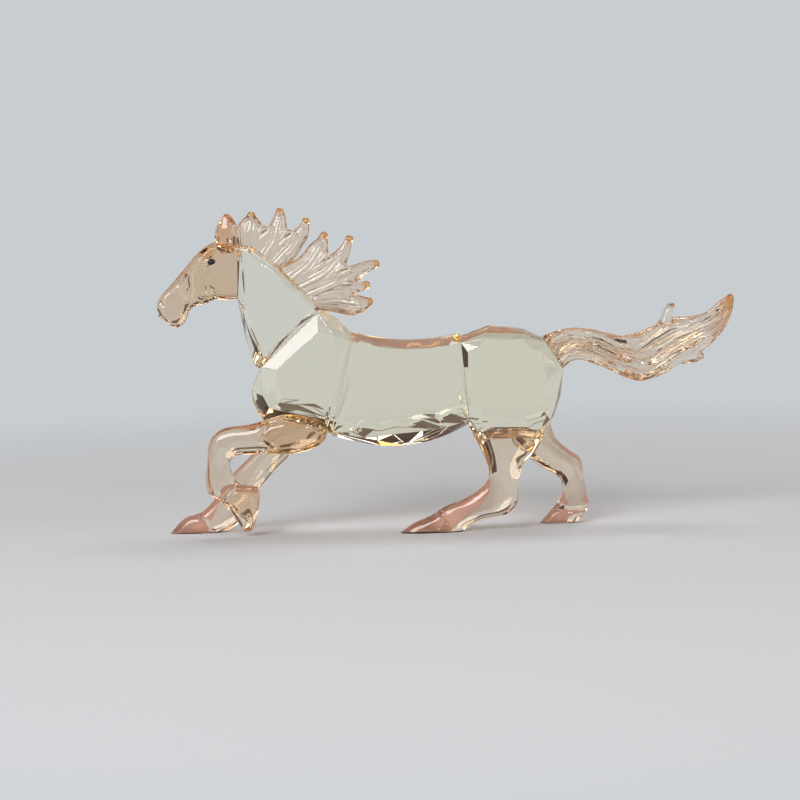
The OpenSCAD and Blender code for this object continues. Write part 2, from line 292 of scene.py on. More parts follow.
def distance_to_line(points, line):
    """Distance of side-view points to a polyline, in drawing millimetres."""
    best = np.full(points.shape[:-1], np.inf)
    for (ax, az), (bx, bz) in zip(line[:-1], line[1:]):
        step = np.array([bx - ax, bz - az])
        along = ((points[..., 0] - ax) * step[0] + (points[..., 2] - az) * step[1]) / step.dot(step)
        along = np.clip(along, 0, 1)
        away = np.hypot(points[..., 0] - ax - along * step[0], points[..., 2] - az - along * step[1])
        best = np.minimum(best, away)
    return best


def carve(points, marks):
    """Sinks a piece's two sides along side-view lines: each mark is (line, width, depth).

    Places within 2 mm of the middle plane sink less, so that the outline stays.
    """
    for line, wide, deep in marks:
        push = deep * np.exp(-(distance_to_line(points, line) / wide) ** 2)
        size = np.abs(points[..., 1])
        points[..., 1] = np.sign(points[..., 1]) * np.maximum(size - push * np.minimum(size / 2, 1), 0)
    return points


# ---------------------------------------------------------------- materials

CLEAR_SKIN = (1.0, 0.995, 0.985)
AMBER_SKIN = (1.0, 0.54, 0.22)
SMEAR_SCALE = 90.0     # noise that varies the roughness, as handled glass does
SMEARS = (0.45, 0.75)  # noise values at which a smear starts and is full
WAVE_SCALE = 260.0     # noise of the flow lines in moulded glass
FLOW = 1.2e-5          # their depth in metres
EYE_SPECKLE = 1500.0
NAVY_DARK = (0.004, 0.005, 0.012)
NAVY = (0.012, 0.015, 0.045)


def principled(name, **values):
    """Material with one Principled shader, its node tree and the shader."""
    material = bpy.data.materials.new(name)
    material.use_nodes = True
    shader = material.node_tree.nodes["Principled BSDF"]
    for socket, value in values.items():
        shader.inputs[socket.replace("_", " ")].default_value = value
    return material, material.node_tree, shader


def fraction(nodes, links, value, low, high, start=0.0, end=1.0):
    """Output socket that runs from start to end while the value runs from low to high."""
    ramp = nodes.new("ShaderNodeMapRange")
    ramp.interpolation_type = "SMOOTHSTEP"
    ramp.inputs["From Min"].default_value = low
    ramp.inputs["From Max"].default_value = high
    ramp.inputs["To Min"].default_value = start
    ramp.inputs["To Max"].default_value = end
    links.new(value, ramp.inputs["Value"])
    return ramp.outputs["Result"]


def noise_value(nodes, links, where, scale, detail):
    """Output socket of a noise over the object."""
    speckle = nodes.new("ShaderNodeTexNoise")
    speckle.inputs["Scale"].default_value = scale
    speckle.inputs["Detail"].default_value = detail
    links.new(where.outputs["Object"], speckle.inputs["Vector"])
    return speckle.outputs["Fac"]


def mixed(nodes, links, share, first, second):
    """Output socket of a colour that goes from the first to the second with a share."""
    tone = nodes.new("ShaderNodeMix")
    tone.data_type = "RGBA"
    tone.inputs["A"].default_value = (*first, 1)
    tone.inputs["B"].default_value = (*second, 1)
    links.new(share, tone.inputs["Factor"])
    return tone.outputs["Result"]


def glass(name, tint, density, ior=1.55, wave=0.0, haze=0.02):
    """Clear solid glass: its colour comes from the path through it and from an amber skin.

    wave is the depth of its flow lines and haze the roughness of its smears.
    """
    material, tree, shader = principled(name, Transmission_Weight=1.0, IOR=ior)
    nodes, links = tree.nodes, tree.links
    where = nodes.new("ShaderNodeTexCoord")
    smears = noise_value(nodes, links, where, SMEAR_SCALE, 3.0)
    links.new(fraction(nodes, links, smears, *SMEARS, 0.0, haze), shader.inputs["Roughness"])

    mark = nodes.new("ShaderNodeAttribute")
    mark.attribute_name = AMBER
    links.new(mixed(nodes, links, mark.outputs["Fac"], CLEAR_SKIN, AMBER_SKIN), shader.inputs["Base Color"])

    if wave:
        bump = nodes.new("ShaderNodeBump")
        bump.inputs["Strength"].default_value = 1.0
        bump.inputs["Distance"].default_value = wave
        links.new(noise_value(nodes, links, where, WAVE_SCALE, 2.0), bump.inputs["Height"])
        links.new(bump.outputs["Normal"], shader.inputs["Normal"])

    body = nodes.new("ShaderNodeVolumeAbsorption")
    body.inputs["Color"].default_value = (*tint, 1.0)
    body.inputs["Density"].default_value = density
    links.new(body.outputs["Volume"], nodes["Material Output"].inputs["Volume"])
    return material


def eye_material():
    """Dark navy enamel, faintly speckled."""
    material, tree, shader = principled("eye_enamel", Roughness=0.03, IOR=1.5)
    spots = tree.nodes.new("ShaderNodeTexNoise")
    spots.inputs["Scale"].default_value = EYE_SPECKLE
    blend = tree.nodes.new("ShaderNodeValToRGB")
    blend.color_ramp.elements[0].color = (*NAVY_DARK, 1)
    blend.color_ramp.elements[1].color = (*NAVY, 1)
    tree.links.new(spots.outputs["Fac"], blend.inputs["Fac"])
    tree.links.new(blend.outputs["Color"], shader.inputs["Base Color"])
    return material


cut_crystal = glass("cut_crystal", (1.0, 0.81, 0.1), 12.5, haze=0.01)
moulded_glass = glass("moulded_glass", (0.8, 0.52, 0.04), 45.0, wave=FLOW)
adhesive = glass("clear_adhesive", (1.0, 0.75, 0.25), 260.0, ior=1.5)
eye_enamel = eye_material()


def finish_piece(piece, nodes, material):
    """Gives a piece its material, and says which body it rides on and which CAD nodes it replaces."""
    piece.data.materials.clear()
    piece.data.materials.append(material)
    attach(piece, "root")
    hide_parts(*nodes)


# ---------------------------------------------------------------- cut blocks

OVERLAP = 0.01 * UNIT       # how far a glued face reaches past the middle of its film of adhesive
SEAT_OVERLAP = 0.03 * UNIT  # how far a seated piece reaches into the glass it is glued to
EDGE = 0.12 * UNIT          # width of the ground edge between two facets
EDGE_DEGREES = 3            # edges between facets that turn by more than this are ground
SHARP_DEGREES = 4           # those that turn by more than this are cut again
FACET_LENGTH = 4.2 * UNIT   # into parts about as long as this
LONG_EDGE = 1.5             # if they are longer than this many facet lengths
SAME_FACET_DEGREES = 0.5    # triangles that turn by less than this make one facet
TABLE_CUT = 1.0 * UNIT      # how far new corners go into the flat side, at most
RIDGE_RISE = 0.22 * UNIT    # how far new corners on a ridge stand out, at most
FLAT_SIDE = 0.99            # a face whose normal's y is past this belongs to the flat side
GLUED = 0.5 * UNIT          # a corner this near to a film's middle belongs to a glued face
TOUCHING = 0.3              # of a film's half thickness, within which a corner lies on the film's face
CUT_SEED = 11


def film_plane(node):
    """Normal, middle and half thickness of a flat film of adhesive, from its largest face."""
    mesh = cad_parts[node].data
    face = max(mesh.polygons, key=lambda p: p.area)
    normal = face.normal.copy()
    levels = [normal.dot(v.co) for v in mesh.vertices]
    return normal, (min(levels) + max(levels)) / 2, (max(levels) - min(levels)) / 2


def reach_through(piece, film):
    """Moves the piece's glued face through the film, so that it overlaps its neighbour a little."""
    normal, middle, half = film_plane(film)
    for vertex in piece.data.vertices:
        away = normal.dot(vertex.co) - middle
        if abs(abs(away) - half) < half * TOUCHING:
            vertex.co -= normal * math.copysign(half + OVERLAP, away)


def cut_again(piece, films, draw):
    """Cuts the long edges between facets once more, so that pointed facets stand between them."""
    planes = [film_plane(film) for film in films]

    def glued(vertex):
        return any(abs(normal.dot(vertex.co) - middle) < GLUED for normal, middle, half in planes)

    def sharp(edge):
        return len(edge.link_faces) == 2 and edge.calc_face_angle() > math.radians(SHARP_DEGREES)

    def long(edge):
        return edge.calc_length() > LONG_EDGE * FACET_LENGTH

    with editing(piece.data) as edit:
        edges = [e for e in edit.edges if long(e) and sharp(e) and not any(glued(v) for v in e.verts)]
        for edge in edges:
            parts = round(edge.calc_length() / FACET_LENGTH)
            made = bmesh.ops.subdivide_edges(edit, edges=[edge], cuts=parts - 1)
            for corner in made["geom_inner"]:
                if isinstance(corner, bmesh.types.BMVert):
                    shift_corner(corner, draw)
        bmesh.ops.triangulate(edit, faces=[f for f in edit.faces if abs(f.normal.y) < FLAT_SIDE])
        bmesh.ops.dissolve_limit(edit, angle_limit=math.radians(SAME_FACET_DEGREES), verts=edit.verts,
                                 edges=edit.edges)


def shift_corner(corner, draw):
    """Moves a new corner into the flat side that it is on, or out of a ridge."""
    tables = [f for f in corner.link_faces if abs(f.normal.y) > FLAT_SIDE]
    if tables:
        inward = tables[0].calc_center_median() - corner.co
        corner.co += inward.normalized() * TABLE_CUT * draw.uniform(0.3, 1.0)
    else:
        corner.normal_update()
        corner.co += corner.normal * RIDGE_RISE * draw.uniform(0.4, 1.0)


def flatten_root(piece, film):
    """Cuts a fused piece off flat where it overlaps the block beyond the film."""
    normal, middle, half = film_plane(film)
    centre = piece_centre(piece)
    out = normal if normal.dot(centre) > middle else -normal
    level = normal * (middle - math.copysign(OVERLAP, normal.dot(centre) - middle))
    cut_flat(piece, level, out)


def piece_centre(piece):
    points = np.empty(len(piece.data.vertices) * 3)
    piece.data.vertices.foreach_get("co", points)
    return Vector(points.reshape(-1, 3).mean(axis=0))


def cut_block(node, films, draw):
    """One cut block: the CAD solid with more facets, its glued faces joined, and ground edges."""
    piece = copy_of(node, node + "_crystal")
    cut_again(piece, films, draw)
    for film in films:
        reach_through(piece, film)
    bevel = piece.modifiers.new("ground_edges", "BEVEL")
    bevel.width = EDGE
    bevel.segments = 2
    bevel.limit_method = "ANGLE"
    bevel.angle_limit = math.radians(EDGE_DEGREES)
    bevel.use_clamp_overlap = True
    apply_modifiers(piece)
    finish_piece(piece, [node], cut_crystal)


BLOCKS = {
    "neck": ["bond_head", "bond_neck"],
    "shoulder": ["bond_neck", "bond_shoulder"],
    "barrel": ["bond_shoulder", "bond_barrel"],
    "haunch": ["bond_barrel", "bond_tail"],
}
cuts = random.Random(CUT_SEED)
for block, films in BLOCKS.items():
    cut_block(block, films, cuts)

for film in ("bond_head", "bond_neck", "bond_shoulder", "bond_barrel", "bond_tail"):
    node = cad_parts[film]
    node.data.materials.clear()
    node.data.materials.append(adhesive)


# ---------------------------------------------------------------- moulded pieces

def seat(piece, block, direction):
    """Trims a piece to the block it is glued to, reaching into the block by the seat overlap."""
    cutter = copy_of(block, "cutter", Vector(direction) * -SEAT_OVERLAP)
    modifier = piece.modifiers.new("cut", "BOOLEAN")
    modifier.object = cutter
    modifier.operation = "DIFFERENCE"
    modifier.solver = "EXACT"
    apply_modifiers(piece)
    remove(cutter)


def seat_film(film, direction):
    """The film of adhesive, moved off the block's skin into the seated piece."""
    piece = copy_of(film, film + "_film", Vector(direction) * SEAT_OVERLAP)
    finish_piece(piece, [film], adhesive)


# Directions in which the seated pieces stand off the blocks.
ONTO_NECK = (0.7, 0, 0.7)
ONTO_HEAD = (0, 0, 1)
UNDER_BLOCK = (0, 0, -1)

HEAD_WIDTH = 12.8
HEAD = [[-58.8, 82.8, -59.2, 67.6, 1], [-62, 84, -62.2, 67.5, 1], [-65, 84.3, -65.5, 67.8, 1],
        [-68.2, 82.9, -68.8, 66.6, 0.95], [-71.2, 80.4, -71.2, 66.2, 0.86], [-74, 77.2, -72.6, 65.4, 0.76],
        [-76.6, 74.3, -73.6, 64.1, 0.68], [-79, 71.7, -74.4, 62.2, 0.63], [-81, 69.6, -75.4, 60.9, 0.61],
        [-82.3, 67.6, -77, 60.1, 0.57], [-82.5, 65.6, -78.8, 60.8, 0.48], [-82.1, 64, -80.4, 62.4, 0.26]]
# Cheek and jaw creases, nose, nostril, mouth, brow and the hollow below the eye: (line, width, depth).
HEAD_MARKS = [
    ([(-70.2, 75.4), (-69.4, 72.2), (-68, 70.4)], 0.5, 0.3),
    ([(-70.8, 72.4), (-69.6, 70.2), (-68.6, 69.2)], 0.4, 0.2),
    ([(-67.2, 71.6), (-65.6, 70.6)], 0.45, 0.2),
    ([(-76, 72.2), (-73.9, 74.4)], 0.35, 0.26),
    ([(-72.9, 74.5), (-73.1, 72.6), (-73.9, 70.8)], 0.35, 0.26),
    ([(-80.4, 66.6), (-80.9, 67.2)], 0.5, 0.25),
    ([(-80.2, 62.6), (-78.8, 62.9)], 0.3, 0.15),
    ([(-68.9, 78.2), (-67.8, 79.5), (-66.2, 79.8)], 0.4, 0.25),
    ([(-68.9, 75.6), (-67.3, 77)], 0.8, 0.36),
]
FOREHEAD = ((-67.9, 82.1), 3.4)  # side-view place of the amber patch below the ear, and its radius
CHEEK_HALF = 5.7  # the cheeks are flat this far from the middle plane


def head_relief(points):
    """Flattens the cheeks and carves the face."""
    points[..., 1] = np.clip(points[..., 1], -CHEEK_HALF, CHEEK_HALF)
    return carve(points, HEAD_MARKS)


def amber_patch(piece, centre, radius):
    """Adds amber skin round a side-view place of the drawing."""
    spot = place([[centre[0], 0, centre[1]]])[0]
    values = piece.data.attributes[AMBER].data
    for vertex in piece.data.vertices:
        away = math.hypot(vertex.co.x - spot[0], vertex.co.z - spot[2]) / (radius * UNIT)
        values[vertex.index].value = max(values[vertex.index].value, 1 - away ** 3)


def make_head():
    """Head with flat cheeks, carved creases and an amber forehead."""
    piece = loft("head_glass", HEAD, HEAD_WIDTH, sides=128, steps=10, square=4.2, sink=head_relief, tip=0.5,
                 amber=(0.32, 0.97, 1.6))
    amber_patch(piece, *FOREHEAD)
    reach_through(piece, "bond_head")
    smooth_shade(piece, 50)
    finish_piece(piece, ["head"], moulded_glass)


EAR = [
    [-63.8, 81, -60.4, 81, 0.7],
    [-64.7, 82.4, -59.2, 82.3, 0.95],
    [-64.6, 83.8, -59.1, 83.7, 0.9],
    [-65.2, 85.8, -58.8, 85.8, 1],
    [-64.7, 88, -59, 88, 0.95],
    [-63.8, 89.6, -59.7, 89.7, 0.75],
    [-62.8, 91.2, -60.8, 91.3, 0.45],
    [-62.2, 92, -61.6, 92, 0.2],
]
EAR_WIDTH = 3.6
EAR_OUT = 4.1      # distance of an ear's middle from the middle plane
EYE_SHARE = 0.88   # of the CAD bead's size


def make_ear(side, word):
    """Leaf with few sides, so that it shows facets as the real ear does."""
    piece = loft(f"ear_{word}_glass", EAR, EAR_WIDTH, side=side * EAR_OUT, sides=11, steps=2, tip=0.3,
                 amber=(0.4, 0.5, 1.1))
    seat(piece, "head", ONTO_HEAD)
    finish_piece(piece, [f"ear_{word}"], moulded_glass)
    seat_film(f"bond_ear_{word}", ONTO_HEAD)


def make_eye(word):
    """Round bead from the CAD eye's box, a little proud of the head."""
    low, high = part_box(f"eye_{word}")
    piece = ball(f"eye_{word}_bead", (low + high) / 2, (high.z - low.z) / 2 * EYE_SHARE, 32, 20)
    smooth_shade(piece, 180)
    finish_piece(piece, [f"eye_{word}"], eye_enamel)


TAIL_WIDTH = 10.5
TAIL = [[26.8, 54.6, 32.9, 44.9, 1], [31, 56, 35.5, 46.8, 0.94], [35.5, 57, 38.2, 47.3, 0.88],
        [41, 56.5, 41.6, 46.3, 0.86], [46.7, 55.2, 45.8, 44.6, 0.84], [51.3, 54.7, 50.5, 42.3, 0.84],
        [55.6, 55.4, 55.2, 41, 0.84], [59.6, 57.3, 60.2, 42, 0.84], [64.4, 59.2, 65, 44.3, 0.8],
        [70, 59.3, 70.1, 46.9, 0.72], [74.5, 60.5, 74.8, 50.2, 0.64], [77.5, 62.8, 79, 54.5, 0.55],
        [79.8, 64.5, 81.6, 59.5, 0.42], [81, 65.2, 82.4, 63.4, 0.26]]
TAIL_STRANDS = 12     # round the whole tail
TAIL_GROOVE = 0.52    # depth of the grooves between strands, as a share of the tail's half width
STRAND_DRIFT = 0.22   # how far the strands wander round the tail, in radians
STRAND_RIPPLE = 0.07  # their finer waves
CURL_WIDTH = 4.5
CURL_GROOVE = 0.1
TAIL_VOXEL = 0.2 * UNIT
CURL = [[60, 57, 65, 57.5, 1], [61.6, 59.8, 64.6, 59.8, 0.9], [62.6, 62, 65.2, 61.4, 0.8],
        [63.8, 63.1, 65.4, 62.4, 0.5]]
LOWER_LOCK = [[58, 50, 58, 42.6, 1], [66, 51, 65.5, 45.2, 0.9], [71, 50.6, 71, 45.7, 0.8],
              [73, 48.8, 73, 46.8, 0.5]]


def mirrored(angle):
    """Angle from the front edge, the same on the left and the right side."""
    return np.minimum(angle, 2 * math.pi - angle)


def tail_relief(share, angle):
    """Strands that run down the tail and wander round it, fading in from the root."""
    across = mirrored(angle)
    drift = STRAND_DRIFT * np.sin(share * 11.0) + STRAND_RIPPLE * np.sin(share * 23.0 + 2.5 * across)
    strands = np.abs(np.sin((across + drift) * TAIL_STRANDS / 2)) ** 0.7
    deep = TAIL_GROOVE * (0.45 + 0.55 * np.sin(share * 6.0 + across * 4.0) ** 2)
    fade = np.clip(share / 0.05, 0, 1)
    return 1 - fade * deep * (1 - strands)


def curl_relief(share, angle):
    """Shallow strands round a curl."""
    return 1 - CURL_GROOVE * (1 - np.abs(np.sin(mirrored(angle) * 4 + share)) ** 0.6)


def make_tail():
    """The tail with its two curls in one moulding."""
    pieces = [
        loft("tail_body", TAIL, TAIL_WIDTH, sides=208, steps=10, relief=tail_relief, tip=0.7,
             amber=(0.12, 0.72, 0.93)),
        loft("curl", CURL, CURL_WIDTH, sides=48, relief=curl_relief, tip=0.6, amber=(0.02, 0.4, 1.1)),
        loft("lower_lock", LOWER_LOCK, CURL_WIDTH, sides=48, relief=curl_relief, tip=0.6,
             amber=(0.02, 0.4, 1.2)),
    ]
    piece = fuse("tail_glass", pieces, TAIL_VOXEL)
    flatten_root(piece, "bond_tail")
    smooth_shade(piece, 60)
    finish_piece(piece, ["tail"], moulded_glass)


HAIR_VOXEL = 0.17 * UNIT
LOCK_GROOVE = 0.13    # depth of the grooves along a lock, as a share of its half width
LOCK_STRANDS = 12     # on either side of a lock
SHEET_LENGTH = 0.52   # share of its locks' length up to which a mane is one sheet
SHEET_WIDTH = 0.98    # of the mane's width at the sheet's root
SHEET_TAPER = 0.2     # loss of that width over the whole length of a lock
TIP_WIDTH = 2.4       # least width of a lock
TIP_BEAD = 1.2        # radius of the bead at a lock's tip
TIP_FLAT = 0.8        # thickness of the bead as a share of its width
MANE_WIDTH = 4.8
MANE_FRONT = [
    [[-59.2, 82.2, -52, 79, 1], [-59.6, 86, -50.9, 85.2, 1], [-58.2, 89.6, -51.8, 88.8, 0.8],
     [-56.2, 91.4, -53.6, 91.3, 0.4]],
    [[-56, 82, -48, 76.5, 1], [-51.6, 85, -45, 82.6, 0.96], [-50.1, 88, -44.7, 87, 0.8],
     [-48.4, 91, -45, 90.4, 0.56], [-47.3, 92.2, -46, 92.2, 0.3]],
    [[-52, 79, -46.8, 75.6, 1], [-47, 83.4, -42.4, 79.4, 0.92], [-44.2, 85.5, -40.4, 82.4, 0.8],
     [-42.2, 87.5, -38.8, 84.8, 0.66], [-40.6, 89, -38.4, 87.6, 0.44], [-39.8, 89.5, -38.9, 89, 0.24]]]
MANE_REAR = [
    [[-47.6, 76.3, -42, 70, 1], [-41.6, 79.3, -36, 74.4, 0.96], [-38.7, 82.5, -33.3, 79, 0.8],
     [-36.3, 84.4, -33.2, 82, 0.56], [-35, 85.5, -33.6, 84.7, 0.3]],
    [[-45, 74, -39.5, 68, 1], [-37, 77, -32, 71, 0.96], [-32.7, 79.6, -28.7, 75.6, 0.8],
     [-29.8, 82, -27.2, 79.4, 0.56], [-27.8, 84.4, -26.4, 83.4, 0.3]],
    [[-42.5, 71.5, -38, 66, 1], [-34, 74, -30, 69, 0.94], [-28.6, 75.8, -26.4, 71, 0.8],
     [-25.7, 76.8, -23.8, 72.8, 0.7], [-22.2, 77.8, -21.2, 74.8, 0.56], [-20, 77.4, -19.6, 76, 0.3]],
    [[-38, 70, -35.5, 66, 0.8], [-31, 72, -29, 68.5, 0.8], [-26, 71.4, -25, 68.8, 0.6],
     [-22.8, 71.3, -22.6, 70.2, 0.3]],
    [[-40.5, 69, -36, 64, 1], [-33, 70, -31, 62.9, 0.96], [-28.5, 69.4, -26.8, 62.1, 0.86],
     [-24.8, 68, -23.4, 63.2, 0.66], [-22.2, 66.9, -21.8, 65, 0.3]]]


def lock_relief(share, angle):
    """Fine strands along a lock of hair."""
    phase = mirrored(angle) * LOCK_STRANDS + 2.0 * np.sin(share * 4.0)
    return 1 - LOCK_GROOVE * (1 - np.abs(np.sin(phase)) ** 0.6)


def between(lock, other):
    """The sheet of hair between two locks, from the middle of one to the middle of the other."""
    rows = []
    for share in np.linspace(0, SHEET_LENGTH, 6):
        middles = []
        for stations in (lock, other):
            path = spline(stations, 6)
            here = [np.interp(share * (len(path) - 1), np.arange(len(path)), path[:, k]) for k in range(4)]
            middles += [(here[0] + here[2]) / 2, (here[1] + here[3]) / 2]
        rows.append([*middles, SHEET_WIDTH - SHEET_TAPER * share])
    return rows


def tongue(lock):
    """The lock with its narrow end kept wide enough for a round tip."""
    rows = []
    for front_x, front_z, back_x, back_z, share in lock:
        middle_x, middle_z = (front_x + back_x) / 2, (front_z + back_z) / 2
        grow = max(1, TIP_WIDTH / math.hypot(back_x - front_x, back_z - front_z))
        rows.append([middle_x + (front_x - middle_x) * grow, middle_z + (front_z - middle_z) * grow,
                     middle_x + (back_x - middle_x) * grow, middle_z + (back_z - middle_z) * grow, share])
    return rows


def tip_bead(name, lock):
    """Bead of melted glass at the tip of a lock."""
    front_x, front_z, back_x, back_z = lock[-1][:4]
    centre = place([[(front_x + back_x) / 2, 0, (front_z + back_z) / 2]])[0]
    bead = ball(name, centre, TIP_BEAD * UNIT, 24, 16, TIP_FLAT)
    set_amber(bead.data, [1.0] * len(bead.data.vertices))
    return bead


def make_mane(name, locks, node, film):
    """Locks, the sheets between them and the beads at their tips, in one moulding seated on the neck."""
    pieces = [loft(f"{name}_{i}", tongue(lock), MANE_WIDTH, sides=128, steps=8, square=2.4,
                   relief=lock_relief, tip=0.6, amber=(0.25, 0.74, 1.0))
              for i, lock in enumerate(locks)]
    pieces += [loft(f"{name}_sheet_{i}", between(lock, other), MANE_WIDTH, sides=128, square=4,
                    relief=lock_relief, tip=0.2, amber=(0.25, 1, 2))
               for i, (lock, other) in enumerate(zip(locks[:-1], locks[1:]))]
    pieces += [tip_bead(f"{name}_bead_{i}", lock) for i, lock in enumerate(locks)]
    mane = fuse(name, pieces, HAIR_VOXEL)
    seat(mane, "neck", ONTO_NECK)
    smooth_shade(mane, 60)
    finish_piece(mane, [node], moulded_glass)
    seat_film(film, ONTO_NECK)


LEG_WIDTH = 9.2
LEG_OUT = 6.3  # distance of a leg's middle from the middle plane
FORELEG_LEFT = [
    [-34.6, 30.6, -35.4, 27.4, 0.4], [-36, 32.9, -37.6, 25.4, 0.8], [-40.2, 34.8, -41.6, 24, 0.96],
    [-45.8, 35.2, -46.5, 23.5, 1], [-51.8, 33.6, -52.2, 23.6, 0.94], [-57.3, 32.2, -57, 23.7, 0.86],
    [-63, 31.6, -60.4, 23.5, 0.8], [-66.6, 30, -62.3, 22.4, 0.8], [-68.5, 27, -62.8, 20.6, 0.76],
    [-69.3, 21.5, -62.2, 18.4, 0.72], [-69.8, 16.6, -61.2, 16.2, 0.7], [-69.3, 13.2, -60.2, 15.2, 0.7],
    [-67, 11.2, -58.5, 14.9, 0.7], [-64.6, 9.4, -54.8, 13.8, 0.7], [-62.4, 6.2, -54.8, 9.5, 0.66],
    [-60.3, 3.2, -56, 4.2, 0.54], [-59.5, 2.3, -57, 2.3, 0.34]]
FORELEG_RIGHT = [
    [-51, 35, -36, 33.6, 0.92], [-53.5, 28, -40.5, 27, 0.94], [-57, 22.8, -46.5, 21.4, 0.86],
    [-62, 18, -52, 16.2, 0.78], [-66, 13, -57, 10.2, 0.72], [-69.5, 8.6, -60, 4.2, 0.7],
    [-73, 5.7, -63.5, 1.4, 0.68], [-77.5, 4.2, -67.5, -0.3, 0.68], [-82.1, -0.4, -69.2, -0.8, 0.66]]
HINDLEG_LEFT = [
    [5.5, 30, 27.5, 29.6, 1], [7.2, 26.5, 26.3, 26, 1], [8.6, 23.5, 24, 22, 0.94],
    [10.1, 20, 21, 19.2, 0.86], [10.8, 16.3, 19.4, 15, 0.78], [9.8, 13.6, 19, 11, 0.72],
    [7.6, 11.6, 18.7, 7.6, 0.68], [3.5, 9.2, 15.8, 4.6, 0.65], [-1.8, 7.2, 10, 3.4, 0.64],
    [-6, 4.7, 5, 1.6, 0.66], [-11, 2.6, 2.6, -0.4, 0.7], [-15.2, -0.3, 1.5, -0.8, 0.7]]
HINDLEG_RIGHT = [
    [28.6, 33, 16, 29, 0.98], [30.6, 25.4, 20.4, 21.6, 0.95], [34.5, 21.3, 26.5, 16.6, 0.86],
    [37.5, 19.2, 30.3, 14.4, 0.78], [38.8, 16, 32.2, 12.2, 0.72], [39.1, 12, 32.7, 9.7, 0.68],
    [39.6, 8, 31.6, 6.6, 0.66], [40, 4.4, 29.6, 4.2, 0.66], [36, -0.8, 25.4, -0.4, 0.62]]
# Outline of the bulge at the raised foreleg's root.
ROOT_MUSCLE = [(-54, 28.9), (-51.8, 26.2), (-48.9, 24.7), (-43.2, 24.5), (-37.4, 26.7), (-34.4, 30),
               (-40.1, 32.2), (-47.3, 33.3), (-51.3, 32.5), (-54, 28.9)]
# That bulge, and the upper edges of the hooves: (line, width, depth).
LEG_MARKS = {
    "foreleg_left": [(ROOT_MUSCLE, 0.5, 0.5), ([(-65.1, 10.2), (-61.3, 14.1), (-54.4, 13.4)], 0.45, 0.5)],
    "foreleg_right": [([(-73, 5.5), (-71.1, 2.6), (-69.4, -0.4)], 0.45, 0.5)],
    "hindleg_left": [([(-3.5, 7.1), (-1.9, 3.6), (-3.4, 0.7)], 0.45, 0.5)],
    "hindleg_right": [([(29.7, 4.3), (35.2, 3.6), (40.1, 3.5)], 0.45, 0.5)],
}


def make_leg(name, stations, side, block):
    """Leg and hoof in one moulding, with a flat sole where it reaches the ground."""
    def marks(points):
        return carve(points, LEG_MARKS[name])

    # Partly painted shade and reflection: the amber skin's base is the glass's own tint, but its growth
    # towards the hoof paints in the red-brown shade and warm reflection that the feet take from below.
    piece = loft(f"{name}_glass", stations, LEG_WIDTH, side=side * LEG_OUT, sides=80, steps=12, square=2.7,
                 sink=marks, amber=(0.17, 0.8, 1.3))
    cut_flat(piece, (0, 0, cad_low.z), (0, 0, 1))
    seat(piece, block, UNDER_BLOCK)
    smooth_shade(piece, 40)
    finish_piece(piece, [name], moulded_glass)
    seat_film(f"bond_{name}", UNDER_BLOCK)


make_head()
for side, word in ((LEFT, "left"), (RIGHT, "right")):
    make_ear(side, word)
    make_eye(word)
make_mane("mane_front_glass", MANE_FRONT, "mane_front", "bond_mane_front")
make_mane("mane_rear_glass", MANE_REAR, "mane_rear", "bond_mane_rear")
make_tail()
make_leg("foreleg_left", FORELEG_LEFT, LEFT, "shoulder")
make_leg("foreleg_right", FORELEG_RIGHT, RIGHT, "shoulder")
make_leg("hindleg_left", HINDLEG_LEFT, LEFT, "haunch")
make_leg("hindleg_right", HINDLEG_RIGHT, RIGHT, "haunch")


# ---------------------------------------------------------------- studio: lengths in metres

BACKDROP = (0.58, 0.61, 0.634)
CEILING = (0.045, 0.032, 0.026)
CEILING_FROM, CEILING_FULL = 0.33, 0.5  # heights, as the sine of the elevation, where it gets dark
FLOOR_RADIUS = 0.6
FLOOR_FADE = (0.22, 0.8)  # shares of the radius between which the floor fades away
FLOOR_COLOUR = (0.7, 0.71, 0.73, 1)
AIM = (0, 0, 0.045)       # the middle of the horse, at which the lights point


def make_world():
    """Pale backdrop all round, and above what the camera sees a dark ceiling for the glass to mirror."""
    world = bpy.data.worlds.new("studio")
    bpy.context.scene.world = world
    world.use_nodes = True
    nodes, links = world.node_tree.nodes, world.node_tree.links
    where = nodes.new("ShaderNodeTexCoord")
    parts = nodes.new("ShaderNodeSeparateXYZ")
    links.new(where.outputs["Generated"], parts.inputs["Vector"])
    height = fraction(nodes, links, parts.outputs["Z"], CEILING_FROM, CEILING_FULL)
    links.new(mixed(nodes, links, height, BACKDROP, CEILING), nodes["Background"].inputs["Color"])


def make_floor():
    """Pale disc that fades into the backdrop."""
    floor = disc("floor", FLOOR_RADIUS, cad_low.z, 128)
    material, tree, shader = principled("floor", Base_Color=FLOOR_COLOUR, Roughness=0.8)
    nodes, links = tree.nodes, tree.links
    where = nodes.new("ShaderNodeTexCoord")
    spread = nodes.new("ShaderNodeVectorMath")
    spread.operation = "LENGTH"
    links.new(where.outputs["Object"], spread.inputs[0])
    near, far = (FLOOR_RADIUS * share for share in FLOOR_FADE)
    links.new(fraction(nodes, links, spread.outputs["Value"], near, far, 1.0, 0.0), shader.inputs["Alpha"])
    floor.data.materials.append(material)


def softbox(name, location, size, power, color=(1, 1, 1)):
    """Area light that points at the horse, with its size in metres and its power in watts."""
    data = bpy.data.lights.new(name, "AREA")
    data.shape = "RECTANGLE"
    data.size, data.size_y = size
    data.energy = power
    data.color = color
    lamp = bpy.data.objects.new(name, data)
    bpy.context.scene.collection.objects.link(lamp)
    lamp.location = location
    lamp.visible_camera = False
    lamp.rotation_mode = "QUATERNION"
    lamp.rotation_quaternion = (Vector(AIM) - lamp.location).to_track_quat("-Z", "Y")


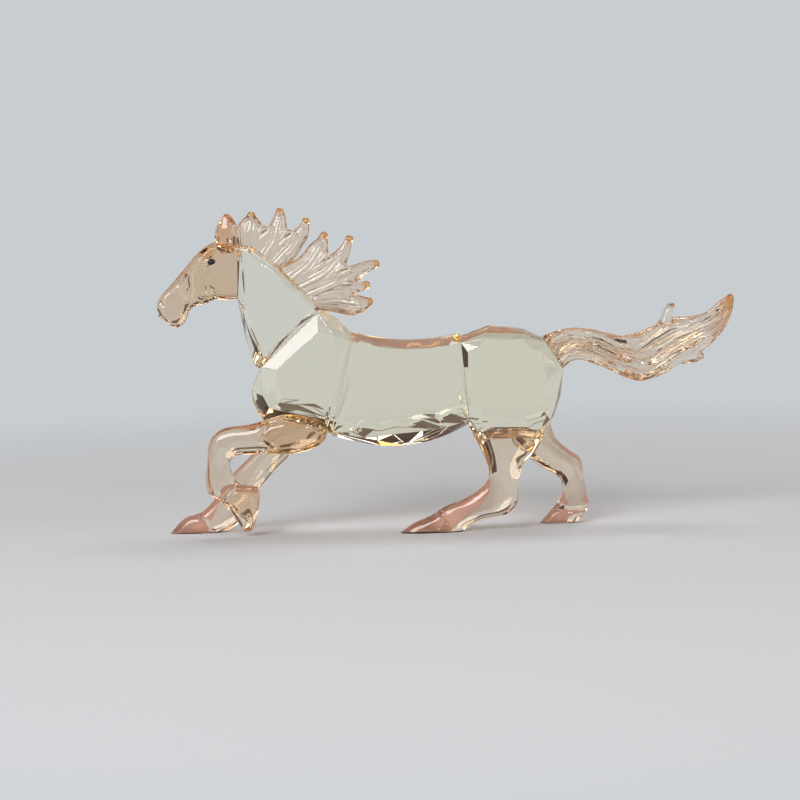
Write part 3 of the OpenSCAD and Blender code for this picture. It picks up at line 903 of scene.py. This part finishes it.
CARD_DISTANCE = 1.3
OPEN_TURN = 4  # the flag left out, because the joints between the blocks would show it as a dark band
DARK = (0.07, 0.038, 0.024)
WHITE_GLOW = (2.0, 1.95, 1.85)
BRIGHT_GLOW = (1.5, 1.5, 1.46)
SHADE = (0.2, 0.14, 0.1)
EMBER_GLOW = (2.6, 1.25, 0.45)
ROSE = (0.68, 0.43, 0.4)
ROSE_RADIUS = 0.09
ROSE_HEIGHT = 0.0004  # above the floor
# Each row is repeated round the horse: name, first azimuth, elevation, width, height in degrees, material.
RING = [
    ("flag", 22.5, 13, 14, 26, "flag"),
    ("white_card", 10, 36, 9, 5, "white_card"),
    ("ember_card", 31, 31, 7, 5, "ember_card"),
    ("ember_card_high", 2, 47, 5, 7, "ember_card"),
    ("white_card_high", 25, 56, 8, 6, "white_card"),
]
RING_COUNT = 8
SHADE_COUNT = 12  # shades, in a ring of their own


def unseen(piece):
    """Hides a studio card from the camera, which leaves it to the glass to pick up."""
    piece.visible_camera = False
    piece.visible_diffuse = False
    piece.visible_shadow = False


def card_material(name, colour, glows):
    """Plain material of a card, which glows with its colour or only has it."""
    material, tree, shader = principled(name, Roughness=1.0)
    if glows:
        shader.inputs["Base Color"].default_value = (0, 0, 0, 1)
        shader.inputs["Emission Color"].default_value = (*colour, 1)
        shader.inputs["Emission Strength"].default_value = 1.0
    else:
        shader.inputs["Base Color"].default_value = (*colour, 1)
    return material


def card(name, azimuth, elevation, wide, tall, material):
    """Card that faces the horse, placed and sized in degrees, azimuth 0 being in front of its left side."""
    turn, lift = math.radians(azimuth), math.radians(elevation)
    out = Vector((math.sin(turn) * math.cos(lift), -math.cos(turn) * math.cos(lift), math.sin(lift)))
    across = Vector((math.cos(turn), math.sin(turn), 0))
    up = out.cross(across)
    half_wide = across * CARD_DISTANCE * math.tan(math.radians(wide / 2))
    half_tall = up * CARD_DISTANCE * math.tan(math.radians(tall / 2))
    centre = out * CARD_DISTANCE
    corners = [centre - half_wide - half_tall, centre + half_wide - half_tall,
               centre + half_wide + half_tall, centre - half_wide + half_tall]
    piece = make_object(name, mesh_from(name, corners, [(0, 1, 2, 3)]))
    piece.data.materials.append(material)
    unseen(piece)


def make_cards():
    """Rings of dark flags and small glowing cards that give the glass its dark edges and its glints."""
    kinds = {
        "flag": card_material("flag", DARK, False),
        "white_card": card_material("white_card", WHITE_GLOW, True),
        "ember_card": card_material("ember_card", EMBER_GLOW, True),
        "bright_card": card_material("bright_card", BRIGHT_GLOW, True),
        "shade": card_material("shade", SHADE, False),
    }
    for i in range(RING_COUNT):
        for name, azimuth, elevation, wide, tall, kind in RING:
            if name != "flag" or i != OPEN_TURN:
                card(f"{name}_{i}", 360 / RING_COUNT * i + azimuth, elevation, wide, tall, kinds[kind])
    for i in range(SHADE_COUNT):
        card(f"shade_{i}", 360 / SHADE_COUNT * i + 8, 13, 18, 7, kinds["shade"])
    card("throat_flag", 147, 8, 10, 18, kinds["flag"])
    card("bright_card_left", -36, 4, 12, 22, kinds["bright_card"])
    card("bright_card_right", 46, 6, 14, 22, kinds["bright_card"])


def make_rose_mat():
    """Rose mat under the horse that only the glass shows."""
    mat = disc("rose_mat", ROSE_RADIUS, cad_low.z + ROSE_HEIGHT, 64, 0.5)
    mat.data.materials.append(card_material("rose_mat", ROSE, False))
    unseen(mat)


CAMERA_LENS, CAMERA_SENSOR = 100, 36  # millimetres
CAMERA_ELEVATION = math.radians(4.5)
CAMERA_ROLL = math.radians(1.6)
CAMERA_TARGET = Vector((-0.0139, 0, 0.0375))
CAMERA_DISTANCE = 0.638               # from the target


def make_camera():
    """Camera on the horse's left side, a little above it."""
    data = bpy.data.cameras.new("camera")
    data.lens = CAMERA_LENS
    data.sensor_width = CAMERA_SENSOR
    camera = bpy.data.objects.new("camera", data)
    bpy.context.scene.collection.objects.link(camera)
    back = Vector((0, -math.cos(CAMERA_ELEVATION), math.sin(CAMERA_ELEVATION)))
    camera.location = CAMERA_TARGET + back * CAMERA_DISTANCE
    camera.rotation_mode = "QUATERNION"
    camera.rotation_quaternion = Quaternion(back, -CAMERA_ROLL) @ (-back).to_track_quat("-Z", "Y")
    bpy.context.scene.camera = camera


make_world()
make_floor()
softbox("key", (-0.5, -0.85, 0.6), (0.66, 0.46), 8.5)
softbox("top", (0.1, 0.25, 1.0), (0.6, 0.45), 3.6)
softbox("fill", (0.75, -0.5, 0.4), (0.15, 0.35), 0.9)
softbox("spark", (0.25, -0.85, 0.6), (0.1, 0.1), 0.7)
softbox("back", (0.35, 0.9, 0.62), (0.25, 0.12), 0.25, (1.0, 0.72, 0.42))
make_cards()
make_rose_mat()
make_camera()

scene = bpy.context.scene
scene.view_settings.view_transform = "Standard"
scene.cycles.max_bounces = 40
scene.cycles.transmission_bounces = 32
scene.cycles.glossy_bounces = 16
scene.cycles.transparent_max_bounces = 16
scene.cycles.use_denoising = True
